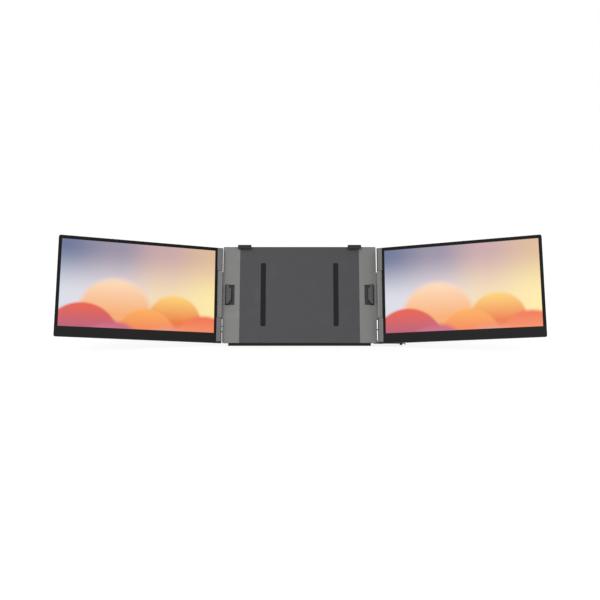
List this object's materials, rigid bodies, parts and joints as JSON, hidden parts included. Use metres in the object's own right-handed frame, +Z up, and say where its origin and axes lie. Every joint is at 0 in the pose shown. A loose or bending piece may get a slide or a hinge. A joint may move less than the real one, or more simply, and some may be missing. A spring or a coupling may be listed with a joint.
{
  "type": "laptop screen extender",
  "caption": "Laptop screen extender: portable monitors hinged to both sides of a lean-back bracket that clips behind a laptop lid, with kickstand and swing-out leg.",
  "frame": {"origin": "middle of the rubber foot's face under the bracket, on the desk", "axes": "+X to the viewer's right along the row of screens, +Y away from the viewer, +Z up; the bracket leans back towards +Y"},
  "size_m": [1.0556, 0.2273, 0.257],
  "materials": {
    "grey_metal": "anodised, fine satin",
    "dark_metal": "anodised, fine satin",
    "black_plastic": "fine grain",
    "bezel_plastic": "satin",
    "steel": "bright",
    "stand_steel": "powder coat",
    "hinge_metal": "bead blasted and anodised",
    "rubber": "matt",
    "screen": "anti-glare",
    "backlight_film": "white",
    "circuit_board": "solder mask",
    "clip_plastic": "fine grain"
  },
  "bodies": {
    "bracket": {"back_housing": "dark_metal", "front_cover": "dark_metal", "left_side_frame": "grey_metal", "right_side_frame": "grey_metal", "left_hinge_arm": "hinge_metal", "right_hinge_arm": "hinge_metal", "lid_pads": "rubber", "bracket_foot": "rubber", "clip_guides": "clip_plastic", "clip_springs": "steel", "housing_screws": "steel", "arm_screws": "steel", "hub_board": "circuit_board", "usb_ports": "steel", "kickstand_pin": "steel", "leg_bracket": "stand_steel", "leg_pin": "steel", "left_hinge_pins": "steel", "right_hinge_pins": "steel", "left_hinge_washers": "steel", "right_hinge_washers": "steel"},
    "left_monitor": {"left_rear_shell": "black_plastic", "left_front_bezel": "bezel_plastic", "left_display": "screen", "left_backlight": "backlight_film", "left_driver_board": "circuit_board", "left_upper_knuckle": "hinge_metal", "left_lower_knuckle": "hinge_metal", "left_leaf_screws": "steel"},
    "right_monitor": {"right_rear_shell": "black_plastic", "right_front_bezel": "bezel_plastic", "right_display": "screen", "right_backlight": "backlight_film", "right_driver_board": "circuit_board", "right_upper_knuckle": "hinge_metal", "right_lower_knuckle": "hinge_metal", "right_leaf_screws": "steel"},
    "kickstand": {"kickstand_plate": "stand_steel", "kickstand_rubber_edge": "rubber"},
    "left_top_clip": {"left_top_hook": "clip_plastic", "left_top_slider": "steel", "left_top_pad": "rubber"},
    "right_top_clip": {"right_top_hook": "clip_plastic", "right_top_slider": "steel", "right_top_pad": "rubber"},
    "left_side_clip": {"left_side_hook": "grey_metal", "left_side_slider": "steel", "left_side_pad": "rubber"},
    "right_side_clip": {"right_side_hook": "grey_metal", "right_side_slider": "steel", "right_side_pad": "rubber"},
    "swing_leg": {"support_leg": "stand_steel", "leg_foot": "rubber", "leg_pull_tab": "steel"},
    "power_button": {"power_button": "clip_plastic"},
    "menu_button": {"menu_button": "clip_plastic"},
    "input_button": {"input_button": "clip_plastic"}
  },
  "joints": [
    {"name": "left_monitor_hinge", "type": "hinge", "parent": "bracket", "child": "left_monitor", "pos_m": [-0.186, 0.01095, 0.11609], "axis": [0, 0.2588, 0.9659], "range_deg": [-20, 160]},
    {"name": "right_monitor_hinge", "type": "hinge", "parent": "bracket", "child": "right_monitor", "pos_m": [0.186, 0.00168, 0.11858], "axis": [0, -0.2588, -0.9659], "range_deg": [-20, 160]},
    {"name": "kickstand_hinge", "type": "hinge", "parent": "bracket", "child": "kickstand", "pos_m": [0, 0.05234, 0.17126], "axis": [1, 0, 0], "range_deg": [-22.82, 35]},
    {"name": "left_top_clip_slide", "type": "slide", "parent": "bracket", "child": "left_top_clip", "axis": [0, 0.2588, 0.9659], "range_m": [0, 0.025]},
    {"name": "right_top_clip_slide", "type": "slide", "parent": "bracket", "child": "right_top_clip", "axis": [0, 0.2588, 0.9659], "range_m": [0, 0.025]},
    {"name": "left_side_clip_slide", "type": "slide", "parent": "bracket", "child": "left_side_clip", "axis": [1, 0, 0], "range_m": [-0.0012, 0.012]},
    {"name": "right_side_clip_slide", "type": "slide", "parent": "bracket", "child": "right_side_clip", "axis": [-1, 0, 0], "range_m": [-0.0012, 0.012]},
    {"name": "swing_leg_pivot", "type": "hinge", "parent": "bracket", "child": "swing_leg", "pos_m": [0.1776, 0.01165, 0.0046], "axis": [0, 0, 1], "range_deg": [0, 180]},
    {"name": "power_button_press", "type": "slide", "parent": "bracket", "child": "power_button", "axis": [1, 0, 0], "range_m": [0, 0.0008], "stiffness_N_per_m": 300},
    {"name": "menu_button_press", "type": "slide", "parent": "bracket", "child": "menu_button", "axis": [1, 0, 0], "range_m": [0, 0.0008], "stiffness_N_per_m": 300},
    {"name": "input_button_press", "type": "slide", "parent": "bracket", "child": "input_button", "axis": [-1, 0, 0], "range_m": [0, 0.0008], "stiffness_N_per_m": 300}
  ]
}
